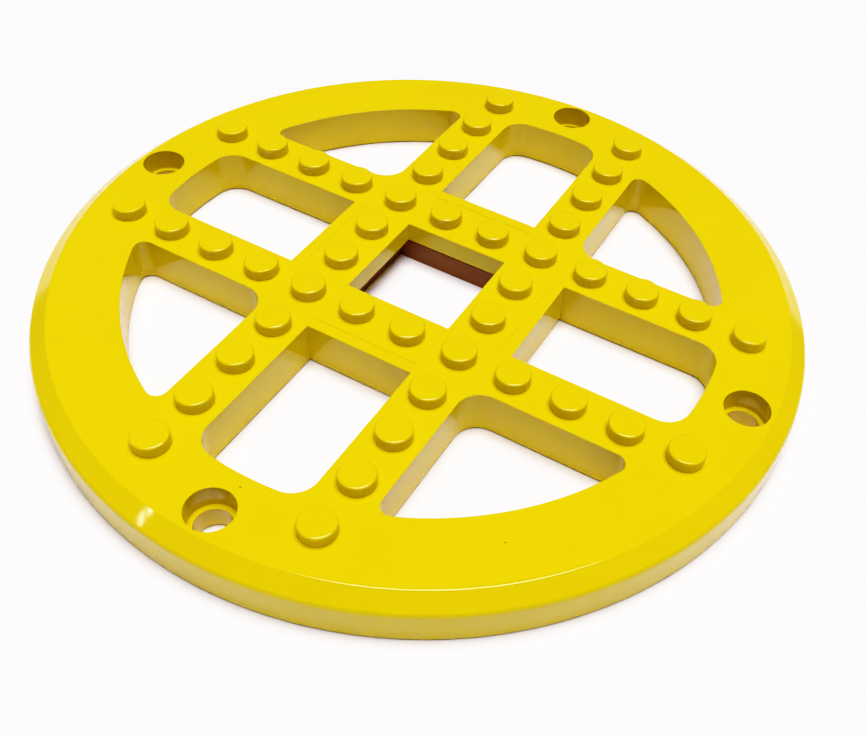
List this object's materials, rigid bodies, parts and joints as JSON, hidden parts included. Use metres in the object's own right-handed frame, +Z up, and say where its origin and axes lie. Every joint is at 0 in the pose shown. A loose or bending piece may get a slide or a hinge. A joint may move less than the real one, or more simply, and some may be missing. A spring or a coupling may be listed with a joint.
{
  "type": "merry go round",
  "caption": "Low round deck with a studded lattice of bars, pin holes in a chamfered rim and a pivot plate under the hub that it turns on.",
  "frame": {"origin": "on the resting surface, below the centre of the deck", "axes": "+Z up along the pivot axis; +X and +Y along the two directions of the bars"},
  "size_m": [0.108, 0.108, 0.0083],
  "materials": {
    "deck_plastic": "glossy moulded yellow plastic, smooth, with fine handling scratches",
    "pivot_plastic": "moulded dark brown plastic, satin"
  },
  "bodies": {
    "base": {"pivot_plate": "pivot_plastic"},
    "deck": {"hub_frame": "deck_plastic", "window_end_walls": "deck_plastic", "hub_studs": "deck_plastic", "arm_east_north": "deck_plastic", "arm_east_south": "deck_plastic", "arm_north_east": "deck_plastic", "arm_north_west": "deck_plastic", "arm_west_north": "deck_plastic", "arm_west_south": "deck_plastic", "arm_south_east": "deck_plastic", "arm_south_west": "deck_plastic", "arm_studs": "deck_plastic", "window_ring": "deck_plastic", "rim_deck": "deck_plastic", "outer_skirt": "deck_plastic", "rim_ribs": "deck_plastic", "pin_bosses": "deck_plastic", "rim_studs": "deck_plastic"}
  },
  "joints": [
    {"name": "deck_spin", "type": "hinge", "parent": "base", "child": "deck", "pos_m": [0, 0, 0], "axis": [0, 0, 1], "continuous": true}
  ]
}
